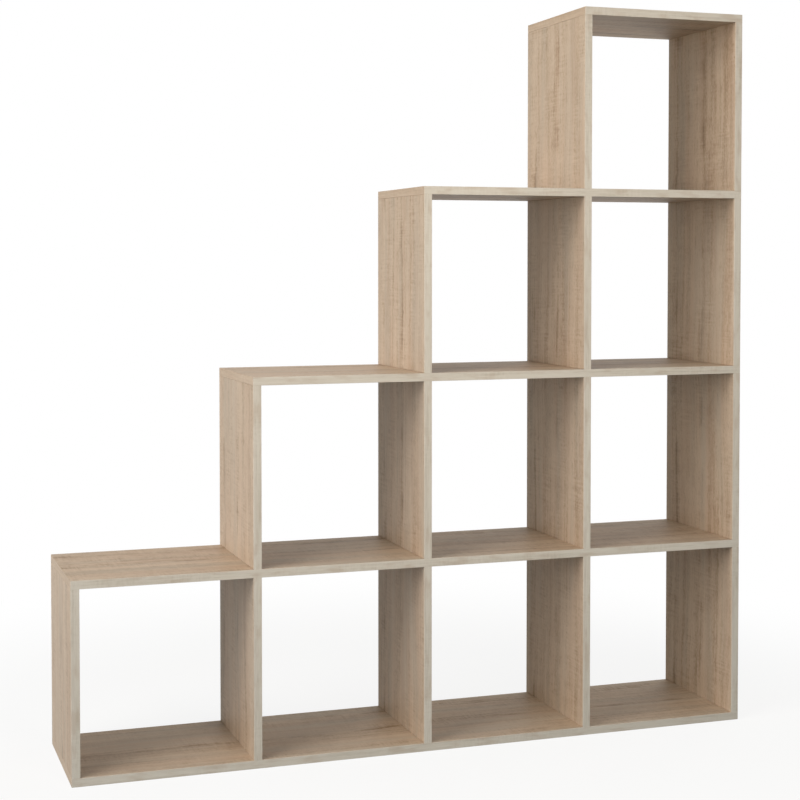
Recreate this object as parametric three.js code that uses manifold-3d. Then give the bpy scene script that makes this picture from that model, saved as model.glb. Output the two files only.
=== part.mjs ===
import * as THREE from "three";
import { mergeVertices } from "three/addons/utils/BufferGeometryUtils.js";
import Module from "manifold-3d";

const wasm = await Module();
wasm.setup();

// A free-standing stepped shelf with an open back. Level boards run through from end to end, and
// short uprights stand between them, so that each column is one compartment taller than the last.
// Hidden cam fittings, two at each place where an upright meets a board, hold it together.
// Lengths are in millimetres. X runs to the right, Y to the back and Z up. The origin is on the
// floor, in the middle of the footprint.

// Boards, and the clear width and height of a compartment between them
const stepCount = 4;
const boardThickness = 16;
const compartmentWidth = 328;
const compartmentHeight = 350;
const shelfDepth = 290;

// Cam fittings: a bolt along Z, its middle set in from a board's front or rear edge, and a round cam
// across it, set back from the upright's end and sunk a little below the upright's right-hand face
const fittingSetIn = 50;
const camSetback = 24;
const camRadius = 7.2;
const camSunk = 1;
const boltRadius = 3.7;
const neckRadius = 1.8;
const neckLength = 10;
const threadRadius = 2.2;
const boreClearance = 0.3;

// The cross recess in the cam's face, for a screwdriver
const crossWidth = 1.8;
const crossLength = 8.4;
const crossDepth = 3.2;

// What is left of a board's thickness behind the bore for a cam and under the hole for a thread
const wallBehindCam = 3.5;
const wallUnderThread = 5;

// How far a cutting shape runs past the face that it cuts
const overrun = 2;

// Sides of the round shapes
const camSides = 12;
const boltSides = 8;

// Derived sizes. The level pitch is rounded to single precision, as the vertices of a mesh are, so
// that the end of an upright meets the face of the next board exactly, whatever the sizes.
const columnPitch = compartmentWidth + boardThickness;
const levelPitch = Math.fround(compartmentHeight + boardThickness);
const fittingY = shelfDepth / 2 - fittingSetIn;
const camBoreDepth = boardThickness - wallBehindCam;
const threadHoleDepth = boardThickness - wallUnderThread;

const boardMaterial = new THREE.MeshStandardMaterial({
  name: "oak_decor",
  color: 0xb7a48d,
  roughness: 0.55,
  metalness: 0,
});
const fittingMaterial = new THREE.MeshStandardMaterial({
  name: "zinc",
  color: 0xa9abad,
  roughness: 0.4,
  metalness: 1,
});

// A closed geometry as a solid that can be cut and joined
function solidFrom(geometry) {
  const bare = geometry.clone();
  bare.deleteAttribute("normal");
  bare.deleteAttribute("uv");
  const merged = mergeVertices(bare);
  const mesh = new wasm.Mesh({
    numProp: 3,
    vertProperties: merged.attributes.position.array,
    triVerts: new Uint32Array(merged.index.array),
  });
  return new wasm.Manifold(mesh);
}

function geometryFrom(solid) {
  const mesh = solid.getMesh();
  const geometry = new THREE.BufferGeometry();
  geometry.setAttribute("position", new THREE.BufferAttribute(mesh.vertProperties, mesh.numProp));
  geometry.setIndex(new THREE.BufferAttribute(mesh.triVerts, 1));
  const faceted = geometry.toNonIndexed();
  faceted.computeVertexNormals();
  return faceted;
}

// A box from a low corner to a high corner: each corner of a unit box goes to one of the two
function boxBetween(low, high) {
  const box = new THREE.BoxGeometry(1, 1, 1);
  const corners = box.attributes.position;
  for (let i = 0; i < corners.count; i++) {
    const x = corners.getX(i) < 0 ? low.x : high.x;
    const y = corners.getY(i) < 0 ? low.y : high.y;
    const z = corners.getZ(i) < 0 ? low.z : high.z;
    corners.setXYZ(i, x, y, z);
  }
  return solidFrom(box);
}

// A round bar along Z
function barAlongZ(radius, sides, bottom, top) {
  const bar = new THREE.CylinderGeometry(radius, radius, top - bottom, sides);
  bar.rotateX(Math.PI / 2);
  bar.translate(0, 0, (bottom + top) / 2);
  return solidFrom(bar);
}

// A round bar along X
function barAlongX(radius, sides, left, right) {
  const bar = new THREE.CylinderGeometry(radius, radius, right - left, sides);
  bar.rotateZ(Math.PI / 2);
  bar.translate((left + right) / 2, 0, 0);
  return solidFrom(bar);
}

// Which boards and uprights there are. Lines of uprights are counted from 0 at the left end, and
// levels and rows from 0 at the floor. Row r stands on level r.
function firstLineOfLevel(level) {
  return Math.max(level - 1, 0);
}

function hasUpright(row, line) {
  return row >= 0 && row < stepCount && line >= row && line <= stepCount;
}

function lineX(line) {
  return (line - stepCount / 2) * columnPitch;
}

// Both places of the fittings across the depth of a board
const fittingPlaces = [
  { side: "front", y: -fittingY },
  { side: "rear", y: fittingY },
];

// What holds a board to the uprights at one line: a double fitting where an upright stands on the
// board and another hangs below it, and otherwise a single one, screwed into the board's face
function fittingKind(level, line) {
  const above = hasUpright(level, line);
  const below = hasUpright(level - 1, line);
  if (above && below) return "double";
  return above ? "single_above" : "single_below";
}

// A board's holes, in the frame of its level, which has its floor at the board's underside
function boardHole(kind) {
  if (kind === "double") {
    return barAlongZ(boltRadius + boreClearance, boltSides, -overrun, boardThickness + overrun);
  }
  const radius = threadRadius + boreClearance;
  if (kind === "single_above") {
    const bottom = boardThickness - threadHoleDepth;
    return barAlongZ(radius, boltSides, bottom, boardThickness + overrun);
  }
  return barAlongZ(radius, boltSides, -overrun, threadHoleDepth);
}

function makeBoard(level) {
  const left = lineX(firstLineOfLevel(level)) - boardThickness / 2;
  const right = lineX(stepCount) + boardThickness / 2;
  let board = boxBetween(
    new THREE.Vector3(left, -shelfDepth / 2, 0),
    new THREE.Vector3(right, shelfDepth / 2, boardThickness),
  );
  for (let line = firstLineOfLevel(level); line <= stepCount; line++) {
    const hole = boardHole(fittingKind(level, line));
    for (const place of fittingPlaces) {
      board = board.subtract(hole.translate([lineX(line), place.y, 0]));
    }
  }
  return geometryFrom(board);
}

// The bore for a bolt, up from an upright's lower end, and the bore for a cam, from its right-hand face
function uprightBores(lowerEnd) {
  const crossing = lowerEnd + camSetback;
  const boltBore = barAlongZ(boltRadius + boreClearance, boltSides, lowerEnd - overrun, crossing);
  const face = boardThickness / 2;
  const camBore = barAlongX(camRadius + boreClearance, camSides, face - camBoreDepth, face + overrun);
  return boltBore.add(camBore.translate([0, 0, crossing]));
}

// All uprights are alike. One stands on its level's board and reaches up to the next level.
function makeUpright() {
  let upright = boxBetween(
    new THREE.Vector3(-boardThickness / 2, -shelfDepth / 2, boardThickness),
    new THREE.Vector3(boardThickness / 2, shelfDepth / 2, levelPitch),
  );
  const bottomBores = uprightBores(boardThickness);
  const topBores = bottomBores
    .mirror([0, 0, 1])
    .translate([0, 0, boardThickness + levelPitch]);
  for (const place of fittingPlaces) {
    upright = upright.subtract(bottomBores.translate([0, place.y, 0]));
    upright = upright.subtract(topBores.translate([0, place.y, 0]));
  }
  return geometryFrom(upright);
}

// A turned bolt along Z, from a profile of radius and height that starts and ends on the axis
function turnedBolt(profile) {
  const points = profile.map(([radius, height]) => new THREE.Vector2(radius, height));
  const bolt = new THREE.LatheGeometry(points, boltSides);
  bolt.rotateX(Math.PI / 2);
  return solidFrom(bolt);
}

// The round cam, across the bolt, with its cross recess in the end at the upright's right-hand face
function camAt(height) {
  const farEnd = boardThickness / 2 - camBoreDepth + boreClearance;
  const face = boardThickness / 2 - camSunk;
  const cam = barAlongX(camRadius, camSides, farEnd, face);
  const across = boxBetween(
    new THREE.Vector3(face - crossDepth, -crossLength / 2, -crossWidth / 2),
    new THREE.Vector3(face + overrun, crossLength / 2, crossWidth / 2),
  );
  const upDown = boxBetween(
    new THREE.Vector3(face - crossDepth, -crossWidth / 2, -crossLength / 2),
    new THREE.Vector3(face + overrun, crossWidth / 2, crossLength / 2),
  );
  return cam.subtract(across.add(upDown)).translate([0, 0, height]);
}

// The fittings, in a frame with its origin in the middle of the board's thickness
const boardFace = boardThickness / 2;
const camHeight = boardFace + camSetback;
const neckStart = camHeight - neckLength;

// A bolt screwed into the board's upper face, with its neck held by a cam in the upright above
function makeSingleFitting() {
  const threadEnd = boardFace - threadHoleDepth + boreClearance;
  const bolt = turnedBolt([
    [0, threadEnd],
    [threadRadius, threadEnd],
    [threadRadius, boardFace],
    [boltRadius, boardFace],
    [boltRadius, neckStart],
    [neckRadius, neckStart],
    [neckRadius, camHeight],
    [0, camHeight],
  ]);
  return geometryFrom(bolt.add(camAt(camHeight)));
}

// A bolt right through the board, with its necks held by a cam in the upright above and in the one
// below
function makeDoubleFitting() {
  const bolt = turnedBolt([
    [0, -camHeight],
    [neckRadius, -camHeight],
    [neckRadius, -neckStart],
    [boltRadius, -neckStart],
    [boltRadius, neckStart],
    [neckRadius, neckStart],
    [neckRadius, camHeight],
    [0, camHeight],
  ]);
  return geometryFrom(bolt.add(camAt(camHeight)).add(camAt(-camHeight)));
}

const uprightGeometry = makeUpright();
const fittingGeometries = {
  double: makeDoubleFitting(),
  single: makeSingleFitting(),
};

function boardName(level) {
  if (level === 0) return "bottom_board";
  return level === stepCount ? "top_board" : `shelf_board_${level}`;
}

function addMesh(group, name, geometry, material) {
  const mesh = new THREE.Mesh(geometry, material);
  mesh.name = name;
  group.add(mesh);
  return mesh;
}

function addFittings(group, level, line) {
  const kind = fittingKind(level, line);
  const family = kind === "double" ? "double" : "single";
  for (const place of fittingPlaces) {
    const name = `${family}_fitting_level${level}_line${line + 1}_${place.side}`;
    const fitting = addMesh(group, name, fittingGeometries[family], fittingMaterial);
    fitting.position.set(lineX(line), place.y, boardThickness / 2);
    if (kind === "single_below") fitting.rotation.x = Math.PI;
  }
}

// One level: its board, the uprights that stand on it and the fittings that the board holds
function makeLevel(level) {
  const group = new THREE.Group();
  addMesh(group, boardName(level), makeBoard(level), boardMaterial);
  for (let line = firstLineOfLevel(level); line <= stepCount; line++) {
    addFittings(group, level, line);
    if (hasUpright(level, line)) {
      const name = `upright_row${level + 1}_line${line + 1}`;
      const upright = addMesh(group, name, uprightGeometry, boardMaterial);
      upright.position.x = lineX(line);
    }
  }
  return group;
}

const shelf = new THREE.Group();
for (let level = 0; level <= stepCount; level++) {
  const levelGroup = makeLevel(level);
  levelGroup.position.z = level * levelPitch;
  shelf.add(levelGroup);
}

export default shelf;
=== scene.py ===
"""A free-standing stepped bookshelf of oak-decor boards, dressed around its frame.

Long level boards and short uprights, each with edge bands, bores, hidden cam fittings and cover
caps. Lengths are in metres. X runs to the right, Y to the back and Z up, from the floor.
"""

import math

import bmesh
import bpy
from bpy.props import FloatProperty, FloatVectorProperty, PointerProperty
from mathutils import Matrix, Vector


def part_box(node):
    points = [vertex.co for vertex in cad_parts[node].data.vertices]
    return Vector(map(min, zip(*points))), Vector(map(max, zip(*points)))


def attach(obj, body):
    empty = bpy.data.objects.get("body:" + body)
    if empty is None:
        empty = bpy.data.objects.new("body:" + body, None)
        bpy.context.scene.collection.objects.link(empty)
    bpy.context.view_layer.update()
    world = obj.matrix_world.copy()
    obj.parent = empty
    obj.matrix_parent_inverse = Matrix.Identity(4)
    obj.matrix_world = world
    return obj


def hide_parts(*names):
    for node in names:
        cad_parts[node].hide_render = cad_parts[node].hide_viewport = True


bl_info = {
    "name": "Staircase Bookshelf",
    "version": (1, 0, 0),
    "blender": (4, 5, 0),
    "location": "View3D > Sidebar > Bookshelf",
    "description": "Builds a stepped bookshelf of oak-decor boards around its fixed frame",
    "category": "Object",
}

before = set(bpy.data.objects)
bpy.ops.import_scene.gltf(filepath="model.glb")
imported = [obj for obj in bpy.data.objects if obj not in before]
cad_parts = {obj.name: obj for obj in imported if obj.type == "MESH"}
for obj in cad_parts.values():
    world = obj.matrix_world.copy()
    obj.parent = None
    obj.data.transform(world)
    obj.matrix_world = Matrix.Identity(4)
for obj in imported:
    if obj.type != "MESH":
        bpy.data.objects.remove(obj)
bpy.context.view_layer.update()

MM = 0.001
X_AXIS, Y_AXIS, Z_AXIS = 0, 1, 2

# Sides of the bores and the caps
ROUND_SIDES = 48

# How near two lengths are when they count as the same
HAIR = 0.01 * MM

# How far a normal has to point along an axis for its face to count as lying across it
ACROSS = 0.5

# Cuts of a bevel: one makes a plain chamfer, and two make a fine rounding
CHAMFER = 1
ROUNDED = 2

# Sockets of a colour Mix node, which share their names with its other sockets
MIX_A, MIX_B, MIX_RESULT = 6, 7, 2


def linear(hex_colour):
    """An sRGB hex colour as linear red, green and blue."""
    parts = [int(hex_colour[start:start + 2], 16) / 255 for start in (1, 3, 5)]
    return [p / 12.92 if p <= 0.04045 else ((p + 0.055) / 1.055) ** 2.4 for p in parts]


# What the frame holds

UPRIGHTS = sorted(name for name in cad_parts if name.startswith("upright_"))
LEVEL_BOARDS = ["bottom_board", "shelf_board_1", "shelf_board_2", "shelf_board_3", "top_board"]
FITTINGS = sorted(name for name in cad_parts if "_fitting_" in name)


def middle(node):
    """The middle of a node's box."""
    low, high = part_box(node)
    return (low + high) / 2


def bolt_places(level):
    """The line, X and Y of each bolt in a level board."""
    places = []
    for fitting in FITTINGS:
        _, _, fitting_level, line, _ = fitting.split("_")
        if fitting_level == f"level{level}":
            places.append((line, middle(f"upright_row1_{line}").x, middle(fitting).y))
    return places


def fitting_depths():
    """The Y of the front fittings and of the rear ones."""
    return sorted({y for _, _, y in bolt_places(0)})


# Sizes, colours and lights that can be set


def length(name, description, default):
    return FloatProperty(
        name=name, description=description, default=default, min=0, precision=5, unit="LENGTH"
    )


def colour(name, description, default):
    return FloatVectorProperty(
        name=name, description=description, default=linear(default), size=3, min=0, max=1,
        subtype="COLOR",
    )


def power(name, description, default):
    return FloatProperty(
        name=name, description=description, default=default, min=0, unit="POWER"
    )


class ShelfSizes(bpy.types.PropertyGroup):
    """Sizes of what the boards are finished with"""

    band: length("Edge band", "Thickness of the edge bands", 0.4 * MM)
    rounding: length("Band rounding", "Radius on the outer edges of a band", 0.35 * MM)
    arris: length("End arris", "Chamfer along the ends of an upright", 0.8 * MM)
    cam_bore: length("Cam bore", "Radius of the bore for a cam", 7.5 * MM)
    cam_depth: length("Cam bore depth", "Depth of the bore for a cam", 12.5 * MM)
    cam_setback: length("Cam setback", "From an upright's end to the middle of a cam", 24 * MM)
    bolt_bore: length("Bolt bore", "Radius of the bore for a bolt", 4 * MM)
    thread_bore: length("Thread bore", "Radius of the blind bore for a thread", 2.5 * MM)
    thread_depth: length("Thread bore depth", "Depth of the blind bore for a thread", 11 * MM)
    cap_radius: length("Cap radius", "Radius of a cover cap", 7.3 * MM)
    cap_thickness: length("Cap thickness", "Thickness of a cover cap", 0.8 * MM)
    cap_rounding: length("Cap rounding", "Radius on the rim of a cover cap", 0.25 * MM)
    cap_sunk: length("Cap sunk", "How far a cap lies below the face around it", 0.1 * MM)
    peg_radius: length("Peg radius", "Radius of the peg on the back of a cap", 0.8 * MM)
    peg_length: length("Peg length", "Length of the peg on the back of a cap", 2.4 * MM)


class ShelfColours(bpy.types.PropertyGroup):
    """Colours of the finishes"""

    face_light: colour("Face light", "Palest bands of the oak decor", "#D3C0AD")
    face_middle: colour("Face middle", "Main tone of the oak decor", "#C2AC96")
    face_dark: colour("Face dark", "Darker bands of the oak decor", "#A78E76")
    streak: colour("Streak", "Dark growth streaks of the oak decor", "#7F664D")
    wash: colour("Grey wash", "Greyish haze over the oak decor", "#B5AA9C")
    blush: colour("Blush", "Rosy haze over the oak decor", "#BC9F88")
    # The band tones are partly the band's own paler print and partly painted light: the light from the
    # front on the front edges is painted into them
    frontlit_band_light: colour("Band light", "Palest tone of the edge bands", "#EDE3D8")
    frontlit_band_middle: colour("Band middle", "Main tone of the edge bands", "#E1D5C9")
    frontlit_band_dark: colour("Band dark", "Darkest tone of the edge bands", "#C5B8A9")
    cap: colour("Cap", "Cover caps", "#BBA992")
    cap_dark: colour("Cap dark", "Darker clouds in the cover caps", "#AD9A82")
    chip: colour("Chips", "Pale wood chips of the board's core", "#B08F62")
    chip_dark: colour("Dark chips", "Dark wood chips and resin of the board's core", "#6E5435")
    zinc: colour("Zinc", "Plated and die-cast zinc", "#B4B5B5")
    zinc_dark: colour("Zinc dark", "Duller patches of the zinc", "#8F9192")
    floor: colour("Floor", "The floor where it is seen", "#F2F2F2")
    floor_bounce: colour("Floor bounce", "What the floor throws back on the shelf", "#5A686A")


class StudioLight(bpy.types.PropertyGroup):
    """Power of the lamps and level of the surroundings"""

    side: power("Side", "Wide, on the left", 115)
    high: power("High", "High, to the left of the shelf", 42)
    front: power("Front", "Some way off, in front", 23)
    near: power("Near", "Near the shelf, in front", 9.5)
    back: power("Back", "Wide and low, behind and to the right", 72)
    rear: power("Rear", "Low, behind and to the left", 15)
    right: power("Right", "Wide, on the right", 45)
    over: power("Over", "Above the top of the shelf, a little to the back", 4)
    world: FloatProperty(
        name="Surroundings", description="Level of light all round", default=0.165, min=0
    )


# Modelling


def activate(piece):
    """Makes one piece the only selected one and the active one."""
    bpy.ops.object.select_all(action="DESELECT")
    piece.select_set(True)
    bpy.context.view_layer.objects.active = piece


def settle(piece, name):
    """Puts a piece's place, turn and scale into its mesh, and names it."""
    activate(piece)
    bpy.ops.object.transform_apply(location=True, rotation=True, scale=True)
    piece.name = name
    piece.data.name = name
    return piece


def add_block(name, low, high):
    """A cuboid from corner to corner."""
    bpy.ops.object.select_all(action="DESELECT")
    bpy.ops.mesh.primitive_cube_add(size=1, location=(low + high) / 2, scale=high - low)
    return settle(bpy.context.object, name)


def add_bar(name, start, end, radius):
    """A round bar from one point to another, along X or Z."""
    along_x = abs(end.x - start.x) > HAIR
    turn = (0, math.pi / 2, 0) if along_x else (0, 0, 0)
    bpy.ops.object.select_all(action="DESELECT")
    bpy.ops.mesh.primitive_cylinder_add(
        vertices=ROUND_SIDES, radius=radius, depth=(end - start).length,
        location=(start + end) / 2, rotation=turn,
    )
    return settle(bpy.context.object, name)


def in_plane(part, axis, place):
    """Whether an edge or a face lies in the plane across an axis at a place."""
    return all(abs(corner.co[axis] - place) < HAIR for corner in part.verts)


def start_edit(piece, mode):
    """Opens a piece in edit mode with nothing selected, and gives its mesh."""
    activate(piece)
    bpy.ops.object.mode_set(mode="EDIT")
    bpy.ops.mesh.select_mode(type=mode)
    bpy.ops.mesh.select_all(action="DESELECT")
    return bmesh.from_edit_mesh(piece.data)


def bevel_edges(piece, wanted, width, segments):
    """Bevels the edges that wanted accepts."""
    mesh = start_edit(piece, "EDGE")
    for edge in filter(wanted, mesh.edges):
        edge.select_set(True)
    bmesh.update_edit_mesh(piece.data)
    bpy.ops.mesh.bevel(offset=width, segments=segments, affect="EDGES")
    bpy.ops.object.mode_set(mode="OBJECT")


def drill(piece, bars, lining):
    """Cuts round bars that don't touch each other out of a piece, with lining on the walls."""
    activate(bars[0])
    for bar in bars:
        bar.select_set(True)
    bpy.ops.object.join()
    cutter = bpy.context.object
    cutter.data.materials.append(lining)
    activate(piece)
    bpy.ops.object.modifier_add(type="BOOLEAN")
    cut = piece.modifiers[-1]
    cut.operation = "DIFFERENCE"
    cut.solver = "EXACT"
    cut.material_mode = "TRANSFER"
    cut.object = cutter
    bpy.ops.object.modifier_apply(modifier=cut.name)
    bpy.data.objects.remove(cutter)


def copy_by(master, name, offset):
    """A copy of a finished piece, moved by offset, with a mesh of its own."""
    activate(master)
    bpy.ops.object.duplicate()
    copy = bpy.context.object
    copy.location = offset
    return settle(copy, name)


def coat_board(panel, axis, face, core):
    """The decor on the two faces across an axis and on their arrises, and bare core elsewhere."""
    panel.data.materials.append(face)
    panel.data.materials.append(core)
    for polygon in panel.data.polygons:
        polygon.material_index = 0 if abs(polygon.normal[axis]) > ACROSS else 1


def dress(piece, slot, *nodes):
    """Sets a finished piece on the root body and hides the frame nodes that it takes the place of. The
    slot is not used.
    """
    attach(piece, "root")
    if nodes:
        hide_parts(*nodes)


# Materials

# Typical values of matt melamine resin, cut chipboard, polypropylene and satin zinc, and the depth
# and size of the relief and the blots on them. The grit is drawn coarser than it is, to show.
RESIN_IOR = 1.5
RESIN_GLOSS = 0.3
RESIN_ROUGHNESS = 0.56
PORE_DEPTH = 0.2 * MM
CHIP_SIZE = 3 * MM
CHIP_DEPTH = 0.3 * MM
CHIP_ROUGHNESS = 0.9
PLASTIC_IOR = 1.49
PLASTIC_ROUGHNESS = 0.48
PLASTIC_GRIT = 0.4 * MM
ZINC_ROUGHNESS = 0.38
ZINC_BLOTS = 3 * MM
ZINC_GRIT = 0.3 * MM
GRIT_DEPTH = 0.05 * MM

# The size in depth of a pattern that hardly changes from one board to the next
ALL_THROUGH = 3000 * MM


def add_node(tree, kind, inputs=None, **settings):
    """Adds a node. An input is a value, an output, or a node whose first output feeds it."""
    node = tree.nodes.new("ShaderNode" + kind)
    for name, value in settings.items():
        setattr(node, name, value)
    for socket, value in (inputs or {}).items():
        if isinstance(value, bpy.types.Node):
            value = value.outputs[0]
        if isinstance(value, bpy.types.NodeSocket):
            tree.links.new(value, node.inputs[socket])
        else:
            node.inputs[socket].default_value = value
    return node


def new_material(name):
    """A material whose node tree holds only a principled shader and its output."""
    material = bpy.data.materials.new(name)
    material.use_nodes = True
    tree = material.node_tree
    tree.nodes.clear()
    shader = add_node(tree, "BsdfPrincipled")
    add_node(tree, "OutputMaterial", {"Surface": shader})
    return material, tree, shader


def noise_of_size(tree, place, sizes, detail=2.0, roughness=0.5):
    """Noise whose blots have these sizes, in metres, along the three parts of place."""
    scaled = add_node(tree, "Mapping", {"Vector": place, "Scale": [1 / size for size in sizes]})
    return add_node(
        tree, "TexNoise", {"Vector": scaled, "Scale": 1, "Detail": detail, "Roughness": roughness}
    )


def add_layers(tree, start, layers):
    """Start plus each layer's weight times how far the layer is above its middle of a half."""
    total = start - sum(weight / 2 for _, weight in layers)
    for layer, weight in layers:
        total = add_node(tree, "Math", {0: layer, 1: weight, 2: total}, operation="MULTIPLY_ADD")
    return total


def fade(tree, value, start, end, low=0.0, high=1.0):
    """A smooth step from low to high as value goes from start to end."""
    return add_node(
        tree, "MapRange",
        {"Value": value, "From Min": start, "From Max": end, "To Min": low, "To Max": high},
        interpolation_type="SMOOTHSTEP",
    )


def tones(tree, value, stops):
    """Colours of a print by its tone: (tone, colour) pairs, the darkest first."""
    ramp = add_node(tree, "ValToRGB", {"Fac": value})
    marks = ramp.color_ramp.elements
    marks[0].position, marks[0].color = stops[0][0], (*stops[0][1], 1)
    marks[1].position, marks[1].color = stops[-1][0], (*stops[-1][1], 1)
    for position, tint in stops[1:-1]:
        marks.new(position).color = (*tint, 1)
    return ramp


def grain_place(tree, axes):
    """The place on a board as (across the grain, along it, depth), and its three parts."""
    coordinates = add_node(tree, "TexCoord")
    split = add_node(tree, "SeparateXYZ", {"Vector": coordinates.outputs["Object"]})
    parts = [split.outputs[axis] for axis in axes]
    place = add_node(tree, "CombineXYZ", {"X": parts[0], "Y": parts[1], "Z": parts[2]})
    return place, parts


def press_pores(tree, shader, relief, sheen):
    """The pressed surface of matt melamine resin: an even, low sheen over a shallow relief."""
    bump = add_node(tree, "Bump", {"Height": relief, "Strength": 0.4, "Distance": PORE_DEPTH})
    tree.links.new(bump.outputs["Normal"], shader.inputs["Normal"])
    roughness = add_layers(tree, RESIN_ROUGHNESS, [(sheen, 0.2)])
    tree.links.new(roughness.outputs[0], shader.inputs["Roughness"])
    shader.inputs["IOR"].default_value = RESIN_IOR
    shader.inputs["Specular IOR Level"].default_value = RESIN_GLOSS


# Long growth streaks of the decor: place across the board, half width, and depth of tone
STREAKS = [
    (-14 * MM, 6 * MM, 0.22),
    (-10 * MM, 20 * MM, 0.2),
    (-82 * MM, 5 * MM, 0.15),
    (100 * MM, 7 * MM, 0.2),
    (106 * MM, 24 * MM, 0.2),
]


def sawn_patches(tree, place, width, pitch, patch):
    """Cross marks of a saw, of a width and a pitch, in patches: 0.5 where there are none."""
    marks = noise_of_size(tree, place, (width, pitch, width), 1.0)
    patches = noise_of_size(tree, place, (patch / 2, patch, patch / 2), 1.0)
    raised = add_layers(tree, 0, [(marks, 1)])
    marked = fade(tree, patches, 0.42, 0.62)
    return add_node(tree, "Math", {0: raised, 1: marked, 2: 0.5}, operation="MULTIPLY_ADD")


def make_decor(name, axes):
    """Oak decor paper under matt melamine resin, pressed with a pore texture.

    The print shows long soft bands, dark growth streaks that kink here and there, flecks, pores,
    short dashes, a faint mottle and the cross marks of a rough-sawn surface, all a little greyed.
    The axes run across the grain, along it and in depth.
    """
    colours = bpy.context.scene.shelf_colours
    material, tree, shader = new_material(name)
    straight, (across, along, depth) = grain_place(tree, axes)

    # The grain wanders sideways as it runs along the board, and kinks where it passed a knot
    slow = noise_of_size(tree, straight, (190 * MM, 360 * MM, ALL_THROUGH), 1.0)
    kinks = noise_of_size(tree, straight, (70 * MM, 26 * MM, ALL_THROUGH), 1.0)
    near_knots = fade(tree, noise_of_size(tree, straight, (300 * MM, 90 * MM, ALL_THROUGH)), 0.5, 0.6)
    kinked = add_node(
        tree, "Math", {0: add_layers(tree, 0, [(kinks, 14 * MM)]), 1: near_knots},
        operation="MULTIPLY",
    )
    shift = add_layers(tree, 0, [(slow, 34 * MM)])
    shift = add_node(tree, "Math", {0: shift, 1: kinked}, operation="ADD")
    wandered = add_node(tree, "Math", {0: across, 1: shift}, operation="ADD")
    wavy = add_node(tree, "CombineXYZ", {"X": wandered, "Y": along, "Z": depth})

    bands = noise_of_size(tree, wavy, (30 * MM, 1100 * MM, 90 * MM), 1.0)
    lines = noise_of_size(tree, wavy, (8 * MM, 340 * MM, 24 * MM), 3.0, 0.6)
    # Pores and dashes are under a millimetre wide on the real print, and are drawn wider to show
    pores = noise_of_size(tree, wavy, (3 * MM, 30 * MM, 7 * MM), 2.0, 0.6)
    flecks = fade(tree, noise_of_size(tree, wavy, (5 * MM, 20 * MM, 6 * MM)), 0.64, 0.8, 0.5, 0)
    # Saw marks lie about 2 mm apart on the real print, and are drawn twice as coarse to show
    sawn = sawn_patches(tree, straight, 50 * MM, 4.4 * MM, 110 * MM)
    mottle = noise_of_size(tree, straight, (40 * MM, 24 * MM, 90 * MM), 1.0)
    dashes = noise_of_size(tree, straight, (3.2 * MM, 7 * MM, 4 * MM), 2.0)

    tone = add_layers(
        tree, 0.6,
        [
            (bands, 0.55), (lines, 0.6), (pores, 0.5), (flecks, 0.3), (sawn, 0.4),
            (mottle, 0.2), (dashes, 0.45),
        ],
    )
    strength = fade(tree, noise_of_size(tree, straight, (60 * MM, 130 * MM, ALL_THROUGH)), 0.4, 0.7)
    for place, half_width, darkness in STREAKS:
        distance = add_node(tree, "Math", {0: wandered, 1: place}, operation="SUBTRACT")
        distance = add_node(tree, "Math", {0: distance}, operation="ABSOLUTE")
        streak = fade(tree, distance, 0, half_width, -darkness, 0)
        tone = add_node(tree, "Math", {0: streak, 1: strength, 2: tone}, operation="MULTIPLY_ADD")

    printed = tones(tree, tone, [
        (0.1, colours.streak), (0.38, colours.face_dark), (0.6, colours.face_middle),
        (0.95, colours.face_light),
    ])
    tint = printed.outputs["Color"]
    for sizes, haze_colour, most in (
        ((40 * MM, 500 * MM, 160 * MM), colours.wash, 0.38),
        ((24 * MM, 420 * MM, 110 * MM), colours.blush, 0.28),
    ):
        haze = fade(tree, noise_of_size(tree, wavy, sizes, 1.0), 0.42, 0.7, 0, most)
        mixed = add_node(
            tree, "Mix", {"Factor": haze, MIX_A: tint, MIX_B: (*haze_colour, 1)}, data_type="RGBA"
        )
        tint = mixed.outputs[MIX_RESULT]
    tree.links.new(tint, shader.inputs["Base Color"])
    relief = add_layers(tree, 0.5, [(pores, 0.7), (sawn, 0.6)])
    press_pores(tree, shader, relief, pores)
    return material


def make_band(name, axes, dark, middle_tone, light):
    """Melamine edge band, as wide as the board is thick, printed to match the decor.

    It shows fine lines along the board, patches of faint sawn cross marks and browner clouds. Pores
    and saw marks are drawn coarser than on a real band, as on the faces.
    """
    figure_colour = bpy.context.scene.shelf_colours.blush
    material, tree, shader = new_material(name)
    straight, _ = grain_place(tree, axes)
    bands = noise_of_size(tree, straight, (13 * MM, 400 * MM, 9 * MM), 1.0)
    lines = noise_of_size(tree, straight, (4 * MM, 140 * MM, 6 * MM), 2.0, 0.6)
    pores = noise_of_size(tree, straight, (1.6 * MM, 26 * MM, 3 * MM), 2.0, 0.6)
    sawn = sawn_patches(tree, straight, 18 * MM, 5 * MM, 120 * MM)
    tone = add_layers(tree, 0.6, [(bands, 0.5), (lines, 0.6), (pores, 0.45), (sawn, 0.32)])
    printed = tones(tree, tone, [(0.2, dark), (0.58, middle_tone), (0.95, light)])
    clouds = noise_of_size(tree, straight, (14 * MM, 50 * MM, 9 * MM), 2.0)
    figure = fade(tree, clouds, 0.48, 0.7, 0, 0.28)
    mixed = add_node(
        tree, "Mix", {"Factor": figure, MIX_A: printed, MIX_B: (*figure_colour, 1)}, data_type="RGBA"
    )
    tree.links.new(mixed.outputs[MIX_RESULT], shader.inputs["Base Color"])
    relief = add_layers(tree, 0.5, [(pores, 0.7), (sawn, 0.3)])
    press_pores(tree, shader, relief, pores)
    return material


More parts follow.
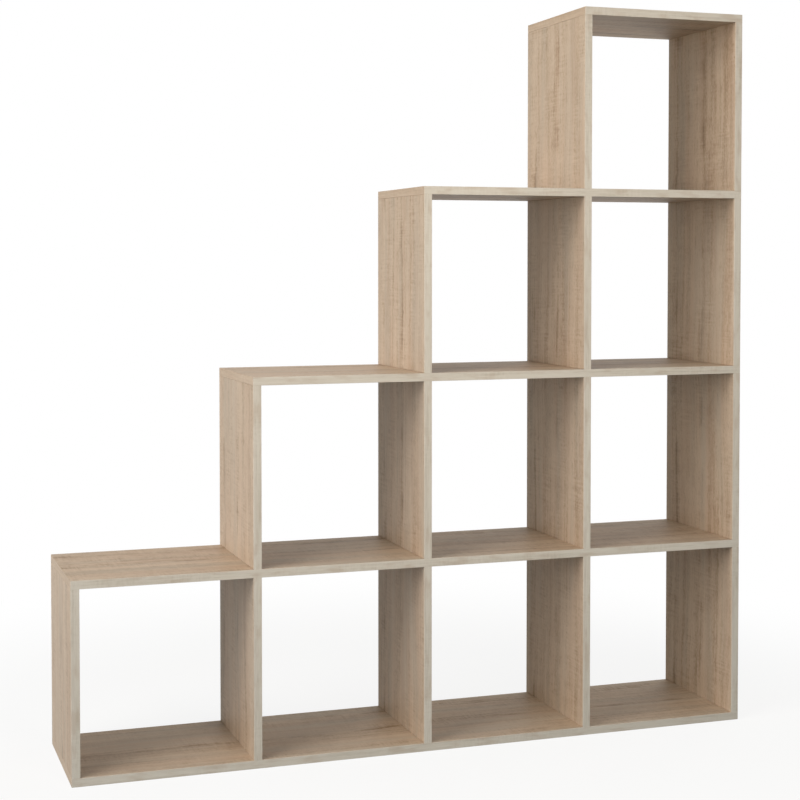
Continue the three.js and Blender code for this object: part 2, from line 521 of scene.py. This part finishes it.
def make_chipboard():
    """The board's core: pressed wood chips in resin, matt and rough where it is cut."""
    colours = bpy.context.scene.shelf_colours
    material, tree, shader = new_material("chipboard_core")
    straight, _ = grain_place(tree, (X_AXIS, Y_AXIS, Z_AXIS))
    spread = add_node(tree, "Mapping", {"Vector": straight, "Scale": [1 / CHIP_SIZE] * 3})
    chips = add_node(tree, "TexVoronoi", {"Vector": spread, "Scale": 1, "Randomness": 1})
    shade = add_node(tree, "SeparateColor", {"Color": chips.outputs["Color"]})
    mixed = add_node(
        tree, "Mix", {"Factor": shade, MIX_A: (*colours.chip_dark, 1), MIX_B: (*colours.chip, 1)},
        data_type="RGBA",
    )
    tree.links.new(mixed.outputs[MIX_RESULT], shader.inputs["Base Color"])
    bump = add_node(
        tree, "Bump", {"Height": chips.outputs["Distance"], "Strength": 0.6, "Distance": CHIP_DEPTH}
    )
    tree.links.new(bump.outputs["Normal"], shader.inputs["Normal"])
    shader.inputs["Roughness"].default_value = CHIP_ROUGHNESS
    return material


def make_cap_plastic():
    """Moulded polypropylene, dyed to match the decor: a little cloudy, with a satin skin."""
    colours = bpy.context.scene.shelf_colours
    material, tree, shader = new_material("cap_polypropylene")
    straight, _ = grain_place(tree, (Y_AXIS, Z_AXIS, X_AXIS))
    clouds = noise_of_size(tree, straight, (5 * MM, 14 * MM, 5 * MM), 3.0)
    grit = noise_of_size(tree, straight, [PLASTIC_GRIT] * 3, 1.0)
    shade = fade(tree, clouds, 0.35, 0.65)
    mixed = add_node(
        tree, "Mix", {"Factor": shade, MIX_A: (*colours.cap_dark, 1), MIX_B: (*colours.cap, 1)},
        data_type="RGBA",
    )
    tree.links.new(mixed.outputs[MIX_RESULT], shader.inputs["Base Color"])
    bump = add_node(tree, "Bump", {"Height": grit, "Strength": 0.2, "Distance": GRIT_DEPTH})
    tree.links.new(bump.outputs["Normal"], shader.inputs["Normal"])
    roughness = add_layers(tree, PLASTIC_ROUGHNESS, [(clouds, 0.2)])
    tree.links.new(roughness.outputs[0], shader.inputs["Roughness"])
    shader.inputs["IOR"].default_value = PLASTIC_IOR
    return material


def make_zinc():
    """Zinc, die-cast in the cams and plated on the bolts: pale grey, satin, a little blotchy."""
    colours = bpy.context.scene.shelf_colours
    material, tree, shader = new_material("zinc_cast_and_plated")
    straight, _ = grain_place(tree, (X_AXIS, Y_AXIS, Z_AXIS))
    blots = noise_of_size(tree, straight, [ZINC_BLOTS] * 3, 3.0)
    skin = noise_of_size(tree, straight, [ZINC_GRIT] * 3, 1.0)
    shade = fade(tree, blots, 0.35, 0.65)
    mixed = add_node(
        tree, "Mix", {"Factor": shade, MIX_A: (*colours.zinc_dark, 1), MIX_B: (*colours.zinc, 1)},
        data_type="RGBA",
    )
    tree.links.new(mixed.outputs[MIX_RESULT], shader.inputs["Base Color"])
    bump = add_node(tree, "Bump", {"Height": skin, "Strength": 0.3, "Distance": GRIT_DEPTH})
    tree.links.new(bump.outputs["Normal"], shader.inputs["Normal"])
    roughness = add_layers(tree, ZINC_ROUGHNESS, [(blots, 0.3)])
    tree.links.new(roughness.outputs[0], shader.inputs["Roughness"])
    shader.inputs["Metallic"].default_value = 1
    return material


# Pieces


class SHELF_OT_finishes(bpy.types.Operator):
    """Make the materials of the boards, bands, caps and fittings"""

    bl_idname = "shelf.finishes"
    bl_label = "Finishes"

    def execute(self, context):
        colours = context.scene.shelf_colours
        # The front and rear bands take the pale tones, which hold painted light from the front; the end
        # bands, which face the sides, take the face tones
        pale = (colours.frontlit_band_dark, colours.frontlit_band_middle, colours.frontlit_band_light)
        like_face = (colours.face_dark, colours.face_middle, colours.face_light)
        make_decor("oak_decor_on_uprights", (Y_AXIS, Z_AXIS, X_AXIS))
        make_decor("oak_decor_on_level_boards", (Y_AXIS, X_AXIS, Z_AXIS))
        make_band("edge_band_on_uprights", (X_AXIS, Z_AXIS, Y_AXIS), *pale)
        make_band("edge_band_on_level_boards", (Z_AXIS, X_AXIS, Y_AXIS), *pale)
        make_band("edge_band_on_board_ends", (Z_AXIS, Y_AXIS, X_AXIS), *like_face)
        make_chipboard()
        make_cap_plastic()
        make_zinc()
        return {"FINISHED"}


def upright_bars(sizes, low, high):
    """The bars that the four cam bores and the four bolt bores of an upright take out of it."""
    cams = []
    bolts = []
    line_x = (low.x + high.x) / 2
    # How far the bars run out past the faces that they cut
    overrun = sizes.cam_bore
    for y in fitting_depths():
        for end, inwards in ((low.z, 1), (high.z, -1)):
            crossing = end + inwards * sizes.cam_setback
            start = Vector((high.x - sizes.cam_depth, y, crossing))
            cams.append(add_bar("bore", start, Vector((high.x + overrun, y, crossing)), sizes.cam_bore))
            start = Vector((line_x, y, crossing))
            outside = Vector((line_x, y, end - inwards * overrun))
            bolts.append(add_bar("bore", start, outside, sizes.bolt_bore))
    return cams, bolts


class SHELF_OT_uprights(bpy.types.Operator):
    """Model one upright's panel and set a copy of it in the place of each upright"""

    bl_idname = "shelf.uprights"
    bl_label = "Uprights"

    def execute(self, context):
        sizes = context.scene.shelf_sizes
        low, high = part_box(UPRIGHTS[0])
        skin = Vector((0, sizes.band, 0))
        panel = add_block(f"{UPRIGHTS[0]}_panel", low + skin, high - skin)
        core = bpy.data.materials["chipboard_core"]

        def is_end_arris(edge):
            at_end = in_plane(edge, Z_AXIS, low.z) or in_plane(edge, Z_AXIS, high.z)
            at_face = in_plane(edge, X_AXIS, low.x) or in_plane(edge, X_AXIS, high.x)
            return at_end and at_face

        bevel_edges(panel, is_end_arris, sizes.arris, CHAMFER)
        coat_board(panel, X_AXIS, bpy.data.materials["oak_decor_on_uprights"], core)
        for bars in upright_bars(sizes, low, high):
            drill(panel, bars, core)
        for name in UPRIGHTS[1:]:
            copy = copy_by(panel, f"{name}_panel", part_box(name)[0] - low)
            dress(copy, "oak_decor", name)
        dress(panel, "oak_decor", UPRIGHTS[0])
        return {"FINISHED"}


class SHELF_OT_level_boards(bpy.types.Operator):
    """Model each level board's panel, drilled for the bolts of the fittings"""

    bl_idname = "shelf.level_boards"
    bl_label = "Level boards"

    def execute(self, context):
        sizes = context.scene.shelf_sizes
        skin = Vector((sizes.band, sizes.band, 0))
        core = bpy.data.materials["chipboard_core"]
        for level, name in enumerate(LEVEL_BOARDS):
            low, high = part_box(name)
            panel = add_block(f"{name}_panel", low + skin, high - skin)
            coat_board(panel, Z_AXIS, bpy.data.materials["oak_decor_on_level_boards"], core)
            self.drill_board(sizes, panel, level, low, high, core)
            dress(panel, "oak_decor", name)
        return {"FINISHED"}

    def drill_board(self, sizes, panel, level, low, high, core):
        """Cuts a bore through the board between two uprights, and a blind one against one upright."""
        bars = []
        for line, x, y in bolt_places(level):
            stands_on = f"upright_row{level + 1}_{line}" in UPRIGHTS
            hangs_below = f"upright_row{level}_{line}" in UPRIGHTS
            through = stands_on and hangs_below
            # A bar runs out past the face that it cuts by its radius
            radius = sizes.bolt_bore if through else sizes.thread_bore
            bottom = low.z - radius if hangs_below else high.z - sizes.thread_depth
            top = high.z + radius if stands_on else low.z + sizes.thread_depth
            bars.append(add_bar("bore", Vector((x, y, bottom)), Vector((x, y, top)), radius))
        drill(panel, bars, core)


def add_band(name, node, low, high, axis, outer, finish):
    """A node's edge band, with the edges round its outer face rounded."""
    sizes = bpy.context.scene.shelf_sizes
    band = add_block(name, low, high)
    bevel_edges(band, lambda edge: in_plane(edge, axis, outer), sizes.rounding, ROUNDED)
    band.data.materials.append(bpy.data.materials[finish])
    dress(band, "oak_decor", node)


class SHELF_OT_edge_bands(bpy.types.Operator):
    """Model the bands on the front and rear edges of all boards and on the level boards' ends"""

    bl_idname = "shelf.edge_bands"
    bl_label = "Edge bands"

    def execute(self, context):
        for name in UPRIGHTS:
            self.add_long_bands(context, name, "edge_band_on_uprights")
        for name in LEVEL_BOARDS:
            self.add_long_bands(context, name, "edge_band_on_level_boards")
            self.add_end_bands(context, name)
        return {"FINISHED"}

    def add_long_bands(self, context, name, finish):
        band = context.scene.shelf_sizes.band
        low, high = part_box(name)
        inner_front = Vector((high.x, low.y + band, high.z))
        inner_rear = Vector((low.x, high.y - band, low.z))
        add_band(f"{name}_band_front", name, low, inner_front, Y_AXIS, low.y, finish)
        add_band(f"{name}_band_rear", name, inner_rear, high, Y_AXIS, high.y, finish)

    def add_end_bands(self, context, name):
        band = context.scene.shelf_sizes.band
        low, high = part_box(name)
        finish = "edge_band_on_board_ends"
        front, rear = low.y + band, high.y - band
        left_low, left_high = Vector((low.x, front, low.z)), Vector((low.x + band, rear, high.z))
        right_low, right_high = Vector((high.x - band, front, low.z)), Vector((high.x, rear, high.z))
        add_band(f"{name}_band_left", name, left_low, left_high, X_AXIS, low.x, finish)
        add_band(f"{name}_band_right", name, right_low, right_high, X_AXIS, high.x, finish)


class SHELF_OT_cover_caps(bpy.types.Operator):
    """Model one cover cap and press a copy of it over each cam"""

    bl_idname = "shelf.cover_caps"
    bl_label = "Cover caps"

    def execute(self, context):
        sizes = context.scene.shelf_sizes
        places = []
        for name in UPRIGHTS:
            low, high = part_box(name)
            for end, z in (("low", low.z + sizes.cam_setback), ("high", high.z - sizes.cam_setback)):
                for side, y in zip(("front", "rear"), fitting_depths()):
                    places.append((f"cap_{name}_{end}_{side}", Vector((high.x, y, z))))
        first_name, first_place = places[0]
        master = self.model_cap(sizes, first_name, first_place)
        for name, place in places[1:]:
            dress(copy_by(master, name, place - first_place), "oak_decor")
        dress(master, "oak_decor")
        return {"FINISHED"}

    def model_cap(self, sizes, name, place):
        """A thin disc with a rounded rim, and a peg on its back for the cross in the cam."""
        outer = place - Vector((sizes.cap_sunk, 0, 0))
        inner = outer - Vector((sizes.cap_thickness, 0, 0))
        cap = add_bar(name, inner, outer, sizes.cap_radius)
        bevel_edges(cap, lambda edge: in_plane(edge, X_AXIS, outer.x), sizes.cap_rounding, ROUNDED)
        mesh = start_edit(cap, "FACE")
        for face in mesh.faces:
            if in_plane(face, X_AXIS, inner.x):
                face.select_set(True)
        bmesh.update_edit_mesh(cap.data)
        bpy.ops.mesh.inset(thickness=sizes.cap_radius - sizes.peg_radius)
        bpy.ops.mesh.extrude_region_move(
            TRANSFORM_OT_translate={"value": (-sizes.peg_length, 0, 0)}
        )
        bpy.ops.object.mode_set(mode="OBJECT")
        cap.data.materials.append(bpy.data.materials["cap_polypropylene"])
        return cap


class SHELF_OT_fittings(bpy.types.Operator):
    """Give the cam fittings their zinc"""

    bl_idname = "shelf.fittings"
    bl_label = "Fittings"

    def execute(self, context):
        zinc = bpy.data.materials["zinc_cast_and_plated"]
        for name in FITTINGS:
            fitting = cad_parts[name]
            fitting.data.materials.clear()
            fitting.data.materials.append(zinc)
        return {"FINISHED"}


# Stage

# The camera stands in front of the shelf, to its left and a metre above the floor. It looks almost
# level, and its lens is shifted a little so that the whole shelf is in the frame.
CAMERA_PLACE = Vector((-1.0949, -3.1678, 0.9721))
CAMERA_TURN = math.radians(-18.928)
CAMERA_DIP = math.radians(1.858)
CAMERA_LENS = 73.913
CAMERA_SENSOR = 36
CAMERA_SHIFT = -0.11

# Place, size, target and tint of each lamp, by the name of its power
LAMPS = {
    "side": (Vector((-4.5, -1.7, 2)), 3.2, Vector((0, 0, 0.9)), (0.98, 0.99, 1)),
    "high": (Vector((-2.2, -1.1, 2.8)), 1.8, Vector((0, 0, 1)), (1, 0.9, 0.75)),
    "front": (Vector((0.3, -4, 1)), 1.4, Vector((0, 0, 1)), (0.84, 0.97, 1)),
    "near": (Vector((-0.1, -1.8, 1.3)), 0.8, Vector((0.4, 0, 1.4)), (1, 0.87, 0.66)),
    "back": (Vector((3.4, 2.5, 0.4)), 1.6, Vector((0, 0, 0.7)), (1, 0.9, 0.74)),
    "rear": (Vector((-2.6, 3, 0.35)), 1.4, Vector((0, 0, 0.9)), (1, 0.9, 0.74)),
    "right": (Vector((4.2, 0.1, 0.9)), 2, Vector((0.7, 0, 0.7)), (1, 0.99, 0.98)),
    "over": (Vector((0.6, 0.3, 2.7)), 0.9, Vector((0.5, 0, 1.48)), (1, 0.97, 0.92)),
}

# The light from all round is a little cooler than the lamps, and is white where it is seen
WORLD_TINT = (0.85, 0.98, 1)
WHITE = (1, 1, 1, 1)

# How far the floor reaches on all sides, and how far below the shelf it lies, so that no two faces
# share a plane
FLOOR_REACH = 8
FLOOR_GAP = 0.2 * MM

# The floor shows the shelf's shadow faintly. This share of it is blank as far as the near distance,
# and all of it from the far one on.
FLOOR_BLANK = 0.86
FLOOR_NEAR = 0.7
FLOOR_FAR = 1.7


def add_lamp(name, place, size, target, tint, energy):
    """A soft square lamp that faces a target."""
    bpy.ops.object.select_all(action="DESELECT")
    bpy.ops.object.light_add(type="AREA", location=place)
    lamp = bpy.context.object
    lamp.name = name
    lamp.rotation_euler = (target - place).to_track_quat("-Z", "Y").to_euler()
    lamp.data.size = size
    lamp.data.energy = energy
    lamp.data.color = tint
    lamp.visible_camera = False


def seen_plainly(tree):
    """1 for the rays that show the background itself: camera, glossy and transmission rays."""
    rays = add_node(tree, "LightPath")
    seen = rays.outputs["Is Camera Ray"]
    for kind in ("Is Glossy Ray", "Is Transmission Ray"):
        seen = add_node(tree, "Math", {0: seen, 1: rays.outputs[kind]}, operation="MAXIMUM")
    return seen


def make_floor_material():
    """White to the eye, with a soft shadow near the shelf, and a grey bounce on the shelf."""
    colours = bpy.context.scene.shelf_colours
    material = bpy.data.materials.new("studio_floor")
    material.use_nodes = True
    tree = material.node_tree
    tree.nodes.clear()
    seen = seen_plainly(tree)
    shade = add_node(
        tree, "Mix", {"Factor": seen, MIX_A: (*colours.floor_bounce, 1), MIX_B: (*colours.floor, 1)},
        data_type="RGBA",
    )
    matt = add_node(tree, "BsdfDiffuse", {"Color": shade.outputs[MIX_RESULT]})
    white = add_node(tree, "Emission", {"Color": WHITE, "Strength": 1})
    coordinates = add_node(tree, "TexCoord")
    away = add_node(
        tree, "VectorMath", {0: coordinates.outputs["Object"]}, operation="LENGTH"
    )
    blank = fade(tree, away.outputs["Value"], FLOOR_NEAR, FLOOR_FAR, FLOOR_BLANK, 1)
    share = add_node(tree, "Math", {0: seen, 1: blank}, operation="MULTIPLY")
    mixed = add_node(tree, "MixShader", {"Fac": share, 1: matt, 2: white})
    add_node(tree, "OutputMaterial", {"Surface": mixed})
    return material


def make_world(level):
    """Dim and even all round, and white where it is seen."""
    world = bpy.data.worlds.new("studio")
    bpy.context.scene.world = world
    world.use_nodes = True
    tree = world.node_tree
    tree.nodes.clear()
    seen = seen_plainly(tree)
    strength = fade(tree, seen, 0, 1, level, 1)
    tint = add_node(
        tree, "Mix", {"Factor": seen, MIX_A: (*WORLD_TINT, 1), MIX_B: WHITE}, data_type="RGBA"
    )
    sky = add_node(
        tree, "Background", {"Color": tint.outputs[MIX_RESULT], "Strength": strength}
    )
    add_node(tree, "OutputWorld", {"Surface": sky})


class SHELF_OT_stage(bpy.types.Operator):
    """Lay the floor and set up the camera, the lamps and the surroundings"""

    bl_idname = "shelf.stage"
    bl_label = "Stage"

    def execute(self, context):
        light = context.scene.studio_light
        bpy.ops.object.select_all(action="DESELECT")
        bpy.ops.mesh.primitive_plane_add(size=2 * FLOOR_REACH, location=(0, 0, -FLOOR_GAP))
        floor = bpy.context.object
        floor.name = "floor"
        floor.data.materials.append(make_floor_material())
        turn = (math.pi / 2 - CAMERA_DIP, 0, CAMERA_TURN)
        bpy.ops.object.camera_add(location=CAMERA_PLACE, rotation=turn)
        camera = bpy.context.object
        camera.data.lens = CAMERA_LENS
        camera.data.sensor_width = CAMERA_SENSOR
        camera.data.shift_y = CAMERA_SHIFT
        context.scene.camera = camera
        context.scene.view_settings.view_transform = "Standard"
        for name, layout in LAMPS.items():
            add_lamp(f"{name}_lamp", *layout, getattr(light, name))
        make_world(light.world)
        return {"FINISHED"}


class SHELF_PT_panel(bpy.types.Panel):
    """Sizes, colours, lights and steps of the bookshelf"""

    bl_idname = "SHELF_PT_panel"
    bl_label = "Staircase bookshelf"
    bl_space_type = "VIEW_3D"
    bl_region_type = "UI"
    bl_category = "Bookshelf"

    def draw(self, context):
        for settings in SETTINGS:
            group = getattr(context.scene, settings)
            box = self.layout.box()
            for name in group.bl_rna.properties.keys():
                if name not in ("rna_type", "name"):
                    box.prop(group, name)
        for step in STEPS:
            self.layout.operator(step.bl_idname)


SETTINGS = {
    "shelf_sizes": ShelfSizes,
    "shelf_colours": ShelfColours,
    "studio_light": StudioLight,
}
STEPS = [
    SHELF_OT_finishes, SHELF_OT_uprights, SHELF_OT_level_boards, SHELF_OT_edge_bands,
    SHELF_OT_cover_caps, SHELF_OT_fittings, SHELF_OT_stage,
]


def register():
    for group in SETTINGS.values():
        bpy.utils.register_class(group)
    for name, group in SETTINGS.items():
        setattr(bpy.types.Scene, name, PointerProperty(type=group))
    for step in STEPS:
        bpy.utils.register_class(step)
    bpy.utils.register_class(SHELF_PT_panel)


def unregister():
    bpy.utils.unregister_class(SHELF_PT_panel)
    for step in reversed(STEPS):
        bpy.utils.unregister_class(step)
    for name, group in SETTINGS.items():
        delattr(bpy.types.Scene, name)
        bpy.utils.unregister_class(group)


def main():
    register()
    bpy.ops.shelf.finishes()
    bpy.ops.shelf.uprights()
    bpy.ops.shelf.level_boards()
    bpy.ops.shelf.edge_bands()
    bpy.ops.shelf.cover_caps()
    bpy.ops.shelf.fittings()
    bpy.ops.shelf.stage()


if __name__ == "__main__":
    main()
